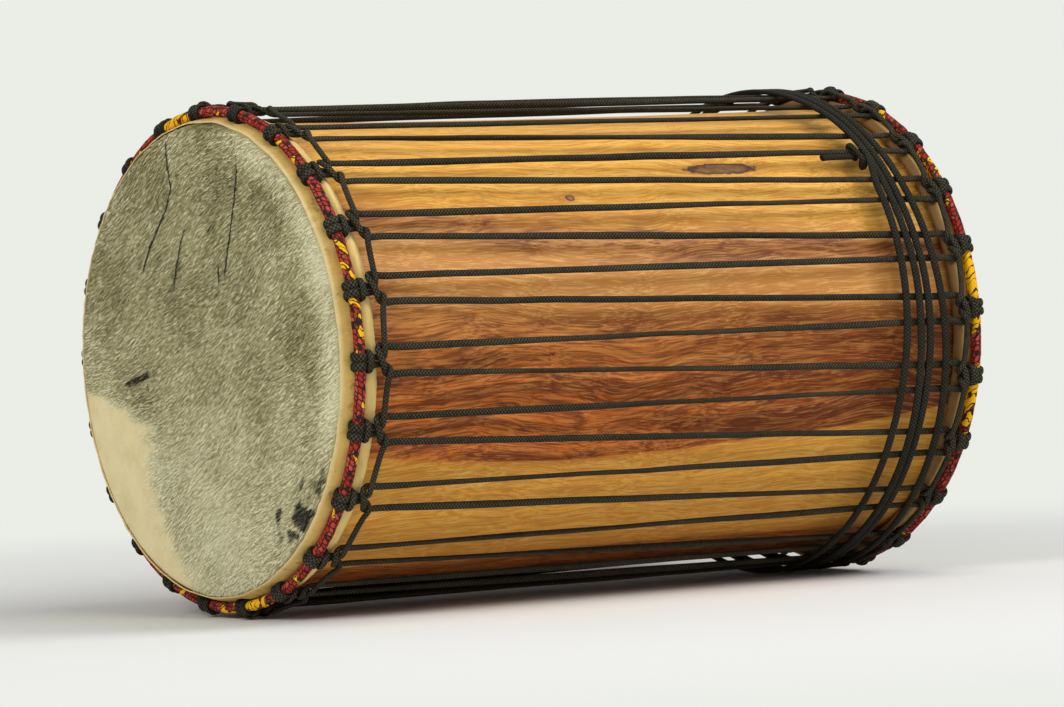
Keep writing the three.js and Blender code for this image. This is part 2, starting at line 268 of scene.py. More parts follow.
class Tree:
    """Places nodes in a node tree and joins them"""

    def __init__(self, tree):
        self.tree = tree

    def find(self, kind):
        return next(node for node in self.tree.nodes if node.type == kind)

    def add(self, kind, inputs=(), **settings):
        node = self.tree.nodes.new(kind)
        for name, value in settings.items():
            setattr(node, name, value)
        for key, value in dict(inputs).items():
            self.put(node.inputs[key], value)
        return node

    def put(self, socket, value):
        if isinstance(value, bpy.types.NodeSocket):
            self.tree.links.new(value, socket)
        elif socket.type == "RGBA":
            socket.default_value = (*value, 1.0)
        else:
            socket.default_value = value

    def math(self, operation, *values, clamp=False):
        """One operation on its values; of more than two, each is taken in turn"""
        if operation in ("ADD", "MULTIPLY") and len(values) > 2:
            values = self.math(operation, *values[:-1]), values[-1]
        settings = {"operation": operation, "use_clamp": clamp}
        return self.add("ShaderNodeMath", dict(enumerate(values)), **settings).outputs[0]

    def plus(self, *values, clamp=False):
        return self.math("ADD", *values, clamp=clamp)

    def minus(self, value, less):
        return self.math("SUBTRACT", value, less)

    def times(self, *values, clamp=False):
        return self.math("MULTIPLY", *values, clamp=clamp)

    def scaled(self, value, factor, offset):
        return self.math("MULTIPLY_ADD", value, factor, offset)

    def vector(self, operation, *values, output=0):
        node = self.add("ShaderNodeVectorMath", dict(enumerate(values)), operation=operation)
        return node.outputs[output]

    def join(self, x, y, z):
        return self.add("ShaderNodeCombineXYZ", {"X": x, "Y": y, "Z": z}).outputs[0]

    def split(self, vector):
        return self.add("ShaderNodeSeparateXYZ", {"Vector": vector}).outputs

    def mix(self, factor, first, second):
        node = self.add("ShaderNodeMix", data_type="RGBA", blend_type="MIX")
        for index, value in ((0, factor), (6, first), (7, second)):
            self.put(node.inputs[index], value)
        return node.outputs[2]

    def cover(self, base, *layers):
        """A base colour with layers over it, each as (share, colour)"""
        for share, colour in layers:
            base = self.mix(share, base, colour)
        return base

    def noise(self, vector, scale, detail=2.0, roughness=0.5, distortion=0.0, color=False):
        settings = {"Vector": vector, "Scale": scale, "Detail": detail}
        settings |= {"Roughness": roughness, "Distortion": distortion}
        return self.add("ShaderNodeTexNoise", settings).outputs[1 if color else 0]

    def long_noise(self, vector, along, across, *settings, **choice):
        """Noise with one scale along the drum and another across it"""
        drawn = self.vector("MULTIPLY", vector, (along, across, across))
        return self.noise(drawn, 1.0, *settings, **choice)

    def sway(self, noise, reach):
        """Offsets either way from a coloured noise"""
        centred = self.vector("SUBTRACT", noise, (0.5,) * 3)
        return self.vector("MULTIPLY", centred, reach)

    def ramp(self, factor, stops):
        """A ramp of colours, or of greys where a stop gives one number"""
        node = self.add("ShaderNodeValToRGB", {"Fac": factor})
        elements = node.color_ramp.elements
        while len(elements) < len(stops):
            elements.new(1.0)
        for element, (position, color) in zip(elements, stops):
            element.position = position
            element.color = (*(color if hasattr(color, "__len__") else (color,) * 3), 1.0)
        return node.outputs[0]

    def span(self, value, low, high, to_low=0.0, to_high=1.0):
        values = dict(enumerate((value, low, high, to_low, to_high)))
        return self.add("ShaderNodeMapRange", values, interpolation_type="SMOOTHSTEP").outputs[0]

    def place(self):
        return self.add("ShaderNodeTexCoord").outputs["Object"]

    def drum_place(self):
        """The place, then its parts in metres: along, to the far side, and up from the axis"""
        place = self.place()
        x, y, z = self.split(place)
        return place, x, y, self.minus(z, AXIS_HEIGHT)

    def length(self, x, y):
        return self.vector("LENGTH", self.join(x, y, 0.0), output=1)

    def attribute(self, name):
        return self.add("ShaderNodeAttribute", attribute_name=name).outputs["Fac"]

    def uv(self, name):
        return self.add("ShaderNodeUVMap", uv_map=name).outputs[0]

    def group(self, group, **inputs):
        node = self.add("ShaderNodeGroup", node_tree=group)
        for name, value in inputs.items():
            self.put(node.inputs[name.replace("_", " ").title()], value)
        return node.outputs

    def bump(self, height, distance, strength):
        inputs = {"Height": height, "Distance": distance, "Strength": strength}
        return self.add("ShaderNodeBump", inputs).outputs[0]


def new_group(name, inputs, outputs):
    """An empty shader group with its named sockets; returns it with its tree, inputs and outputs"""
    group = bpy.data.node_groups.new(name, "ShaderNodeTree")
    for socket, default in inputs:
        made = group.interface.new_socket(socket, in_out="INPUT", socket_type="NodeSocketFloat")
        made.default_value = default
    for socket, kind in outputs:
        group.interface.new_socket(socket, in_out="OUTPUT", socket_type="NodeSocket" + kind)
    tree = Tree(group)
    return group, tree, tree.add("NodeGroupInput").outputs, tree.add("NodeGroupOutput").inputs


def new_material(name, **constants):
    material = bpy.data.materials.new(name)
    material.use_nodes = True
    tree = Tree(material.node_tree)
    shader = tree.find("BSDF_PRINCIPLED").inputs
    for key, value in constants.items():
        tree.put(shader[key.replace("_", " ").title().replace("Ior", "IOR")], value)
    return material, tree, shader


def mottle_group():
    """Soft patches and fine specks over a surface"""
    inputs = [("Patch Scale", 20.0), ("Speck Scale", 400.0)]
    outputs = [("Patches", "Float"), ("Specks", "Float")]
    group, tree, given, result = new_group("soft_mottle", inputs, outputs)
    place = tree.place()
    tree.put(result["Patches"], tree.noise(place, given["Patch Scale"], 3.0, 0.55))
    tree.put(result["Specks"], tree.noise(place, given["Speck Scale"], 2.0, 0.6))
    return group


def braid_group():
    """A tubular braid: yarns cross over and under along a rope laid out in a UV map"""
    inputs = [("Yarns Round", 4.0), ("Pick Length", 0.0031)]
    outputs = [("Height", "Float"), ("Yarn Tone", "Float")]
    group, tree, given, result = new_group("rope_braid", inputs, outputs)
    lay = tree.split(tree.uv("rope_lay"))
    turned = tree.times(lay[0], given["Yarns Round"])
    run = tree.math("DIVIDE", lay[1], given["Pick Length"])
    left, right = tree.plus(run, turned), tree.minus(run, turned)
    whole_left, whole_right = tree.math("FLOOR", left), tree.math("FLOOR", right)
    over = tree.math("FLOORED_MODULO", tree.plus(whole_left, whole_right), 2.0)
    part_left, part_right = tree.math("FRACT", left), tree.math("FRACT", right)
    across = tree.scaled(tree.minus(part_right, part_left), over, part_left)
    lengthwise = tree.minus(tree.plus(part_left, part_right), across)
    crown = tree.math("POWER", tree.math("SINE", tree.times(across, math.pi)), 0.8)
    dip = tree.scaled(tree.math("SINE", tree.times(lengthwise, math.pi)), 0.6, 0.4)
    cell = tree.join(whole_left, whole_right, 0.0)
    tone = tree.add("ShaderNodeTexWhiteNoise", {"Vector": cell}).outputs[0]
    tree.put(result["Height"], tree.times(crown, dip))
    tree.put(result["Yarn Tone"], tone)
    return group


def coat_group():
    """Colour of the short hair: olive grey, paler low on the head; painted light at its near rim,
    turning to painted shade at the lower end of that rim
    """
    outputs = [("Colour", "Color")]
    group, tree, given, result = new_group("coat_colour", [("Tone", 0.5)], outputs)
    place, _, y, level = tree.drum_place()
    patches = tree.noise(place, 15.0, 3.0, 0.6)
    tufts = tree.noise(place, 430.0, 2.0, 0.6)
    fall = tree.span(level, 0.06, -0.2, 0.0, 0.55)
    # Painted light at the near rim of the head, turning to painted shade at its lower end
    rim = tree.times(
        tree.span(tree.length(y, level), 0.165, 0.192, 0.0, 0.5),
        tree.span(y, 0.0, -0.10),
        tree.span(level, -0.12, -0.03, -0.4, 1.0),
    )
    patches, tufts = tree.scaled(patches, 1.0, -0.33), tree.scaled(tufts, 0.8, -0.2)
    tone = tree.scaled(given["Tone"], 0.9, -0.4)
    light = tree.plus(fall, rim, patches, tufts, tone, clamp=True)
    stops = [(0.0, HAIR_DARK), (0.35, HAIR_OLIVE), (0.7, HAIR_GREY), (1.0, HAIR_PALE)]
    tree.put(result["Colour"], tree.ramp(light, stops))
    return group


mottle = mottle_group()
braid = braid_group()
coat = coat_group()


def rope_material(name, crown, worn, pick_length):
    """Black braided rope with grey-green yarn crowns, partly painted highlight. Painted shade where
    it faces the drum, painted light on its outer side
    """
    material, tree, shader = new_material(name, roughness=0.75, specular_ior_level=0.1)
    woven = tree.group(braid, yarns_round=ROPE_YARNS, pick_length=pick_length)
    patches = tree.group(mottle, patch_scale=14.0, speck_scale=700.0)["Patches"]
    _, _, y, level = tree.drum_place()
    # Painted shade on the side of the rope that faces the drum, and painted light on its outer side
    outward = tree.vector("NORMALIZE", tree.join(0.0, y, level))
    normal = tree.add("ShaderNodeNewGeometry").outputs["Normal"]
    facing = tree.vector("DOT_PRODUCT", outward, normal, output=1)
    tone = tree.times(
        tree.scaled(woven["Yarn Tone"], 0.6, 0.65),
        tree.span(patches, 0.3, 0.7, 0.75, 1.15),
        tree.span(facing, -0.5, 0.9, 0.35, 1.2),
    )
    # Crowns against grooves: the yarns' own worn colour, with a painted highlight on the crowns and
    # painted shade in the grooves
    share = tree.times(tree.span(woven["Height"], 0.3, 0.85), tone, clamp=True)
    face = tree.mix(tree.span(patches, 0.5, 0.75), crown, worn)
    tree.put(shader["Base Color"], tree.mix(share, ROPE_GROOVE, face))
    tree.put(shader["Normal"], tree.bump(woven["Height"], 0.0006, 1.0))
    return material


def steel_material():
    material, tree, shader = new_material("ring_steel", metallic=1.0)
    marks = tree.group(mottle, patch_scale=60.0, speck_scale=900.0)
    rust = tree.span(marks["Patches"], 0.52, 0.7)
    tree.put(shader["Base Color"], tree.mix(rust, STEEL, RUST))
    tree.put(shader["Roughness"], tree.span(marks["Specks"], 0.3, 0.7, 0.35, 0.6))
    return material


def hide_material(name):
    """Rawhide: shaved and tan at the rim and rings, cream where it is bare. Painted shade under the
    hair, over the rear hide and on the rear ring's shell side; paler hide with painted light on
    the front ring's crest and its cut edge
    """
    material, tree, shader = new_material(name, specular_ior_level=0.12)
    place, x, y, level = tree.drum_place()
    marks = tree.group(mottle, patch_scale=38.0, speck_scale=520.0)
    patches, specks = marks["Patches"], marks["Specks"]
    streak = tree.long_noise(place, 70.0, 330.0, 3.0, 0.6, 0.8)
    stains = tree.long_noise(place, 60.0, 85.0, 4.0, 0.65)
    # The front flesh ring's outer crest: paler hide with painted light
    on_ring = tree.span(tree.length(y, level), 0.2072, 0.2095)
    on_ring = tree.times(on_ring, tree.span(x, 0.1, -0.1, 0.0, 0.86))
    # Painted shade on the side of the rear ring that faces the shell
    shaded = tree.times(tree.span(x, 0.3205, 0.3160, 0.0, 0.85), tree.span(x, 0.0, 0.1))
    tan = tree.cover(
        TAN,
        # The rear hide drawn darker tan, as painted shade
        (tree.span(x, -0.1, 0.1, 0.0, 0.75), TAN_DARK),
        (tree.span(patches, 0.45, 0.72, 0.0, 0.5), TAN_DARK),
        (tree.span(stains, 0.54, 0.67, 0.0, 0.6), STAIN),
        (tree.span(streak, 0.52, 0.72, 0.0, 0.4), TAN_DARK),
        (tree.span(streak, 0.45, 0.2, 0.0, 0.45), CREAM),
        (on_ring, RING_CREAM_AND_LIGHT),
        # A cream line along the flap's cut edge at the front: paler hide with a painted highlight
        (tree.span(x, -0.3405, -0.3435, 0.0, 0.55), CREAM),
        (shaded, HIDE_SHADE),
    )
    bare = tree.cover(
        CREAM,
        (tree.span(patches, 0.35, 0.8, 0.0, 0.6), OCHRE),
        (tree.span(specks, 0.4, 0.8, 0.0, 0.3), HAIR_PALE),
    )
    # Painted shade under the hair: the coat's colour darkened, for the skin seen between hairs
    under = tree.mix(0.35, tree.group(coat, tone=0.25)["Colour"], HAIR_DARK)
    skin = tree.cover(under, (tree.attribute("bare"), bare), (tree.attribute("shaved"), tan))
    tree.put(shader["Base Color"], skin)
    tree.put(shader["Roughness"], tree.span(specks, 0.2, 0.8, 0.42, 0.60))
    grain = tree.plus(specks, tree.times(streak, 0.8))
    tree.put(shader["Normal"], tree.bump(grain, 0.0004, 0.6))
    return material


def hair_material():
    material, tree, shader = new_material("short_hair", roughness=0.7, specular_ior_level=0.2)
    colour = tree.cover(
        tree.group(coat, tone=tree.attribute("tone"))["Colour"],
        (tree.attribute("pale"), HAIR_PALE),
        (tree.attribute("dark"), HAIR_BLACK),
    )
    tree.put(shader["Base Color"], colour)
    return material


def cloth_material():
    """Printed cotton: red scales in a black net, and yellow leaves with black veins"""
    material, tree, shader = new_material("printed_cotton", roughness=0.85, specular_ior_level=0.1)
    run, wrap, _ = tree.split(tree.uv("cloth_lay"))
    slanted = tree.scaled(wrap, 0.55, run)
    flat = tree.join(slanted, wrap, 0.0)
    wobble = tree.sway(tree.noise(flat, 160.0, 2.0, color=True), (0.003,) * 3)
    bent = tree.vector("ADD", flat, wobble)
    cells = {"Vector": bent, "Scale": 215.0, "Randomness": 0.5}
    edges = tree.add("ShaderNodeTexVoronoi", cells, feature="DISTANCE_TO_EDGE")
    scales = tree.split(tree.add("ShaderNodeTexVoronoi", cells).outputs["Color"])[0]
    net = tree.span(edges.outputs["Distance"], 0.09, 0.18)
    ground = tree.mix(tree.span(scales, 0.3, 1.0), PRINT_RED, PRINT_ROSE)
    ground = tree.mix(net, PRINT_BLACK, ground)
    leaf = tree.noise(tree.vector("MULTIPLY", bent, (85.0, 85.0, 1.0)), 1.0, 1.0, 0.4)
    leaf = tree.scaled(tree.attribute("gold"), 0.25, leaf)
    inside = tree.span(leaf, 0.65, 0.66)
    outline = tree.times(inside, tree.span(leaf, 0.70, 0.69))
    curl = tree.times(tree.noise(bent, 90.0, 1.0), 9.0)
    vein = tree.math("ABSOLUTE", tree.math("SINE", tree.scaled(slanted, 460.0, curl)))
    filled = tree.mix(tree.span(vein, 0.26, 0.38), PRINT_BLACK, PRINT_YELLOW)
    worn = tree.span(tree.noise(flat, 900.0, 2.0), 0.5, 0.8, 0.0, 0.25)
    pattern = tree.cover(ground, (inside, filled), (outline, PRINT_BLACK), (worn, PRINT_ROSE))
    weave = [tree.math("SINE", tree.times(way, 9000.0)) for way in (run, wrap)]
    tree.put(shader["Base Color"], pattern)
    tree.put(shader["Normal"], tree.bump(tree.times(*weave), 0.0001, 0.4))
    return material


# Zones round the log as (share of a turn from the top, colour)
WOOD_ZONES = [
    (0.0, SAP),
    (0.140, SAP),
    (0.158, SAP_DEEP),
    (0.168, HEART),
    (0.180, HEART),
    (0.194, HEART_LIGHT),
    (0.212, HEART_LIGHT),
    (0.235, HEART),
    (0.262, HEART_WARM),
    (0.285, HEART_RED),
    (0.3295, HEART_RED),
    # Lower sapwood, partly painted shade
    (0.3325, SAP_LOW_SHADED),
    (0.385, SAP_LOW_SHADED),
    (0.420, SAP_DEEP),
    (0.434, HEART_LOW),
    (0.50, HEART_LOW),
    (0.60, HEART),
    (0.66, SAP_DEEP),
    (0.78, HEART_LIGHT),
    (0.88, HEART),
    (0.92, SAP_DEEP),
    (1.0, SAP),
]
# Knots as (metres along, degrees round, half length, half width)
EYE_KNOT = (0.1125, 41.6, 0.040, 0.0076)
PIN_KNOT = (-0.0675, 50.2, 0.0055, 0.0035)


def knot_distance(tree, place, x, angle, knot):
    """Distance from a knot in its own half sizes, with a ragged edge"""
    along, degrees, half_length, half_width = knot
    away = tree.math("DIVIDE", tree.minus(x, along), half_length)
    across = tree.minus(angle, degrees / 360)
    across = tree.times(across, TURN * SHELL_RADIUS * MM / half_width)
    ragged = tree.scaled(tree.noise(place, 180.0, 2.0), 0.6, -0.3)
    return tree.plus(tree.length(away, across), ragged)


def wood_zone(tree, place, x, angle):
    """The share of a turn that a place takes its colour from. The heart lies aslant in the upper
    part of the log and bowed in the lower"""
    upper = tree.times(tree.span(angle, 0.27, 0.15), tree.span(angle, -0.02, 0.08))
    lower = tree.times(tree.span(angle, 0.42, 0.34), tree.span(angle, 0.25, 0.31))
    slant = tree.times(upper, -0.097)
    from_crest = tree.plus(x, 0.07)
    bow = tree.times(from_crest, from_crest, 0.17)
    slow = tree.scaled(tree.long_noise(place, 4.0, 9.0, 4.0, 0.6), 1.0, -0.5)
    uneven = tree.times(slow, tree.scaled(upper, 0.07, 0.012))
    zone = tree.plus(angle, tree.times(slant, x), tree.times(bow, lower), uneven)
    return tree.math("FRACT", tree.plus(zone, 1.0))


def grain_place(tree, place, eye):
    """Places for grain along the log that waves a little and bends round the eye knot"""
    wave = tree.sway(tree.long_noise(place, 5.0, 8.0, color=True), (0.0, 0.05, 0.05))
    curl = tree.sway(tree.long_noise(place, 10.0, 24.0, color=True), (0.0, 0.008, 0.008))
    bend = tree.math("DIVIDE", 0.012, tree.scaled(eye, eye, 1.0))
    grain = tree.vector("ADD", tree.vector("ADD", place, wave), tree.join(0.0, bend, bend))
    return tree.vector("ADD", grain, curl)


def wood_material():
    gloss = {"coat_weight": 0.03, "coat_roughness": 0.35, "specular_ior_level": 0.12}
    material, tree, shader = new_material("varnished_wood", **gloss)
    place, x, y, level = tree.drum_place()
    angle = tree.math("DIVIDE", tree.math("ARCTAN2", tree.times(y, -1.0), level), TURN)
    eye, pin = (knot_distance(tree, place, x, angle, knot) for knot in (EYE_KNOT, PIN_KNOT))
    zone = wood_zone(tree, place, x, angle)
    base = tree.ramp(zone, WOOD_ZONES)
    # Only the heart's own colours have so little green; its light zone counts as sapwood
    is_heart = tree.span(tree.split(base)[1], 0.26, 0.17)

    grain = grain_place(tree, place, eye)
    rings = tree.times(tree.long_noise(grain, 1.6, 13.0, 2.0, 0.5, 0.4), 15.0)
    stops = [(0.0, 0.5), (0.12, 0.0), (0.6, 0.25), (0.9, 1.0), (1.0, 0.5)]
    ring_line = tree.split(tree.ramp(tree.math("FRACT", rings), stops))[0]
    bands = tree.long_noise(grain, 3.2, 46.0, 4.0, 0.6)
    streaks = tree.long_noise(grain, 6.5, 270.0, 3.0, 0.6)
    fibres = tree.long_noise(grain, 30.0, 760.0, 2.0, 0.6)
    pores = tree.long_noise(grain, 75.0, 950.0, 1.0, 0.5)

    dark_grain = tree.mix(is_heart, SAP_GRAIN, HEART_DARK)
    deep_grain = tree.mix(is_heart, SAP_GRAIN, HEART_DEEP)
    light_grain = tree.mix(is_heart, GRAIN_LIGHT, GRAIN_ORANGE)
    toward_rear = tree.times(tree.span(x, -0.12, 0.24), tree.span(zone, 0.19, 0.235), is_heart)
    bands = tree.scaled(toward_rear, 0.05, bands)

    def in_heart(pattern, low, high, amount):
        return tree.times(tree.span(pattern, low, high, 0.0, amount), is_heart)

    color = tree.cover(
        base,
        (tree.times(toward_rear, 0.8), HEART_DUSK),
        (in_heart(ring_line, 0.3, 1.0, 0.6), HEART_DEEP),
        (in_heart(bands, 0.51, 0.585, 0.8), HEART_DEEP),
        (in_heart(bands, 0.48, 0.30, 0.50), GRAIN_ORANGE),
        (tree.span(streaks, 0.52, 0.57, 0.0, 0.48), deep_grain),
        (tree.span(streaks, 0.46, 0.41, 0.0, 0.24), light_grain),
        (tree.span(fibres, 0.53, 0.58, 0.0, 0.50), dark_grain),
        (tree.span(fibres, 0.45, 0.40, 0.0, 0.32), light_grain),
        (tree.span(pores, 0.66, 0.70, 0.0, 0.55), dark_grain),
    )
    filling = tree.span(tree.noise(place, 120.0, 2.0), 0.4, 0.65)
    filling = tree.mix(filling, KNOT_BROWN, KNOT_TAN)
    for distance in (eye, pin):
        rim = tree.ramp(distance, [(0.0, 0.15), (0.55, 0.35), (0.85, 1.0), (1.0, 0.5)])
        inner = tree.mix(tree.split(rim)[0], filling, KNOT_RIM)
        halo = tree.span(distance, 1.9, 0.9, 0.0, 0.35)
        color = tree.cover(color, (halo, HEART), (tree.span(distance, 1.05, 0.92), inner))

    tree.put(shader["Base Color"], color)
    tree.put(shader["Roughness"], tree.span(fibres, 0.3, 0.8, 0.42, 0.6))
    height = tree.plus(tree.times(fibres, 0.5), tree.times(pores, -0.6))
    tree.put(shader["Normal"], tree.bump(height, 0.0003, 0.35))
    return material


lacing_braid = rope_material("lacing_braid", ROPE_CROWN, ROPE_WORN, 0.0034)
cradle_braid = rope_material("cradle_braid", ROPE_CROWN, ROPE_WORN, 0.0030)
winding_braid = rope_material("winding_braid", WINDING_CROWN, WINDING_WORN, 0.0034)
hide = hide_material("goat_hide")
hair = hair_material()
steel = steel_material()
cotton = cloth_material()
wood = wood_material()


# Shell


def build_shell():
    inner = SHELL_RADIUS - SHELL_WALL
    front_edge = arc(EDGE_ROUND, EDGE_RADIUS, EDGE_ROUND, 180, 90, 8)
    depths = np.linspace(WAIST_DEPTH, SHELL_HALF, 30)
    draw = SHELL_WAIST * np.sin(np.pi / 2 * depths / SHELL_HALF)
    front_half = np.vstack([front_edge, run_of(depths, SHELL_RADIUS - draw)])
    rear_half = front_half[-2::-1] * (-1, 1) + (2 * SHELL_HALF, 0)
    rear_mouth, front_mouth = run_of((2 * SHELL_HALF, 0.0), inner + MOUTH_CHAMFER)
    inside = run_of(np.linspace(2 * SHELL_HALF - MOUTH_CHAMFER, MOUTH_CHAMFER, 24), inner)
    profile = np.vstack([front_half, rear_half, rear_mouth, inside, front_mouth])
    angle = steps_round(SHELL_STEPS)
    along, radius = profile[:, :1] - SHELL_HALF, profile[:, 1:]
    uneven = 0.35 * ripple(angle, along, 5, 14, 18, 0.012)
    uneven = uneven + 0.15 * ripple(angle, along, 6, 10, 60, 0.05)
    middle = np.clip((SHELL_HALF - np.abs(along)) / 40, 0, 1)
    points = on_drum(along, radius + uneven * middle, angle).reshape(-1, 3)
    faces = grid_faces(len(profile), SHELL_STEPS, True, True)
    piece = add_piece("drum_shell", points, faces, wood)
    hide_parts("shell")


# Skins, rings and cloth


# The edge of the bare patch on the playing head, as (level, across)
BARE_EDGE = [
    *((-205, 15), (-176, 45), (-146, 68), (-134, 74), (-120, 86), (-99, 93), (-84, 90)),
    *((-66, 93), (-56, 98), (-49, 120), (-43, 134), (-36, 155), (-24, 205)),
]
# Over how wide a band the skin grows bare there, and the hair thins out
SKIN_BARING, HAIR_THINNING = 16.0, 36.0


def past_bare_edge(across, level):
    """How far a place on the playing head lies past the edge of the bare patch"""
    heights, reaches = np.array(BARE_EDGE, float).T
    edge = np.interp(level, heights, reaches, right=400.0)
    ragged = 4.0 * np.sin(level * 0.31 + across * 0.07)
    ragged = ragged + 3.0 * np.sin(level * 0.13 - across * 0.23)
    return across - edge + ragged


def bareness(across, level, width):
    """How bare the playing head is at a place, from 0 in the hair to 1 on the bare patch"""
    return np.clip(past_bare_edge(across, level) / width + 0.5, 0, 1)


def near_hitch(end, angle, half_width):
    """1 at each hitch, falling to 0 at a distance round the drum"""
    total = np.zeros_like(angle)
    for index in range(HITCHES):
        away = np.abs(turned_away(angle, hitch_angle(end, index)))
        total = np.maximum(total, np.clip(1 - away * SHELL_RADIUS / half_width, 0, 1))
    return total * total * (3 - 2 * total)


# The flap's outer face as (depth, radius), from the flesh ring to its cut edge by the hair
FLAP = [
    *((26.4, 209.8), (22.5, 207.9), (19.0, 207.0), (14.0, 206.6), (10.5, 206.2)),
    *((7.0, 205.5), (4.0, 204.6), (2.0, 203.9), (0.9, 203.5)),
]
FLAP_CUT = (0.2, 203.0)


def build_skin(side, end):
    """Head, shoulder and skirt, the hem round the flesh ring, and the flap folded back towards the
    head under the crown ring; then back along the inside"""
    parts = {
        "head": run_of(EDGE_ROUND - SKIN_OUTSIDE, np.linspace(0.2, EDGE_RADIUS, 26)),
        "shoulder": arc(EDGE_ROUND, EDGE_RADIUS, SKIN_OUTSIDE, 180, 90, 10)[1:],
        "skirt": run_of(np.linspace(9, 24, 5), EDGE_RADIUS + SKIN_OUTSIDE),
        "hem lining": arc(FLESH_DEPTH, FLESH_RADIUS, FLESH_TUBE - SKIN_THICKNESS, -90, HEM_END, 12),
        "flap lining": np.array(FLAP) - (0, SKIN_THICKNESS),
        "flap": np.array([FLAP_CUT, *FLAP[::-1]]),
        "hem": arc(FLESH_DEPTH, FLESH_RADIUS, FLESH_TUBE, HEM_END, -90, 20),
        "skirt lining": run_of(np.linspace(24, 9, 4), EDGE_RADIUS + SKIN_INSIDE),
        "shoulder lining": arc(EDGE_ROUND, EDGE_RADIUS, SKIN_INSIDE, 90, 180, 8),
        "head lining": run_of(EDGE_ROUND - SKIN_INSIDE, np.linspace(EDGE_RADIUS - 6, 0.2, 5)),
    }
    profile = np.vstack(list(parts.values()))
    part = np.repeat(list(parts), [len(points) for points in parts.values()])[:, None]
    on_head, on_hem, on_flap = part == "head", part == "hem", np.isin(part, ["flap", "flap lining"])
    angle = steps_round(SKIN_STEPS)
    depth, radius = profile[:, :1], profile[:, 1:]

    out_depth, out_radius = depth - FLESH_DEPTH, radius - FLESH_RADIUS
    reach = np.maximum(np.hypot(out_depth, out_radius), 1)
    wrinkle = 0.14 * ripple(angle, depth * 3, 21 + end, 30, 240, 0.3)
    wrinkle = wrinkle + 0.25 * ripple(angle, depth, 31 + end, 12, 60, 0.1)
    swell = on_hem * (wrinkle - 0.4 * near_hitch(end, angle, 9) - 0.05)
    fuller = on_hem * 0.9 * np.clip(out_depth / reach, 0, 1)
    under_ring = np.exp(-(((depth - CROWN_DEPTH) / 6) ** 2))
    sink = on_flap * (0.35 * wrinkle - 1.9 * under_ring * near_hitch(end, angle, 12))
    sink = sink + on_flap * 0.35 * ripple(angle, 0, 41 + end, 10, 34, 1.0)
    by_cut = np.clip(1 - depth / 10, 0, 1)
    slack = on_flap * by_cut * 0.3 * ripple(angle, 0, 45 + end, 12, 90, 1.0)
    tension = on_head * np.clip((radius - 60) / 140, 0, 1) * 0.25
    depth = depth + (swell + fuller) * out_depth / reach + slack
    depth = depth + tension * ripple(angle, radius * 0.02, 51 + end, 8, 14, 1.0)
    radius = radius + swell * out_radius / reach + sink
    points = on_drum(end_along(end, depth), radius, angle).reshape(-1, 3)
    faces = list(flip(grid_faces(len(profile), SKIN_STEPS, False, True), end > 0))
    middle = np.arange(SKIN_STEPS)
    last = (len(profile) - 1) * SKIN_STEPS + middle
    faces += [middle[::end], last[::-end]]
    piece = add_piece(f"{side}_hide", points, faces, hide)

    order = np.arange(len(profile))[:, None] - len(parts["head"]) + 1
    unrolled = EDGE_RADIUS + SKIN_OUTSIDE * np.pi / 2 * order / len(parts["shoulder"])
    line = HAIR_LINE + 0.6 * ripple(angle, 0, 61 + end, 10, 60, 1.0)
    set_attribute(piece, "shaved", ~on_head * np.clip(unrolled - line + 0.5, 0, 1))
    across, level = radius * -np.sin(angle), radius * np.cos(angle)
    bare = bareness(across, level, SKIN_BARING) if end < 0 else np.zeros_like(across)
    set_attribute(piece, "bare", bare * np.isin(part, ["head", "shoulder"]))
    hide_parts(f"{side}_skin")


def tube_places(end, depth, radius, reach, turn, angle):
    """Places on a ring, at a reach from the middle of its section"""
    along = end_along(end, depth + reach * np.cos(turn))
    return on_drum(along, radius + reach * np.sin(turn), angle).reshape(-1, 3)


def build_hoop(name, end, depth, radius, rod):
    angle, turn = steps_round(HOOP_STEPS), steps_round(SECTION_STEPS)[:, None]
    points = tube_places(end, depth, radius, rod, turn, angle)
    faces = flip(grid_faces(SECTION_STEPS, HOOP_STEPS, True, True), end < 0)
    return add_piece(name, points, faces, steel)


def build_rings(side, end):
    flesh = build_hoop(f"{side}_flesh_hoop", end, FLESH_DEPTH, FLESH_RADIUS, FLESH_ROD)
    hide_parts(f"{side}_flesh_ring")
    crown = build_hoop(f"{side}_crown_hoop", end, CROWN_DEPTH, CROWN_RADIUS, CROWN_ROD)
    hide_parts(f"{side}_crown_ring")


# Where the print of the cloth runs to yellow leaves: degrees round the drum, spread, amount
GOLD = {
    "front": [
        *((67, 6, 0.8), (80, 8, 0.65), (172, 16, 1.0), (345, 9, 1.1), (240, 20, 0.7)),
        *((300, 10, 0.6),),
    ],
    "rear": [
        *((78, 8, 1.8), (47, 5, 1.0), (28, 5, 0.7), (88, 3, 1.2), (106, 8, 1.1)),
        *((200, 25, 0.8), (290, 18, 0.9)),
    ],
}


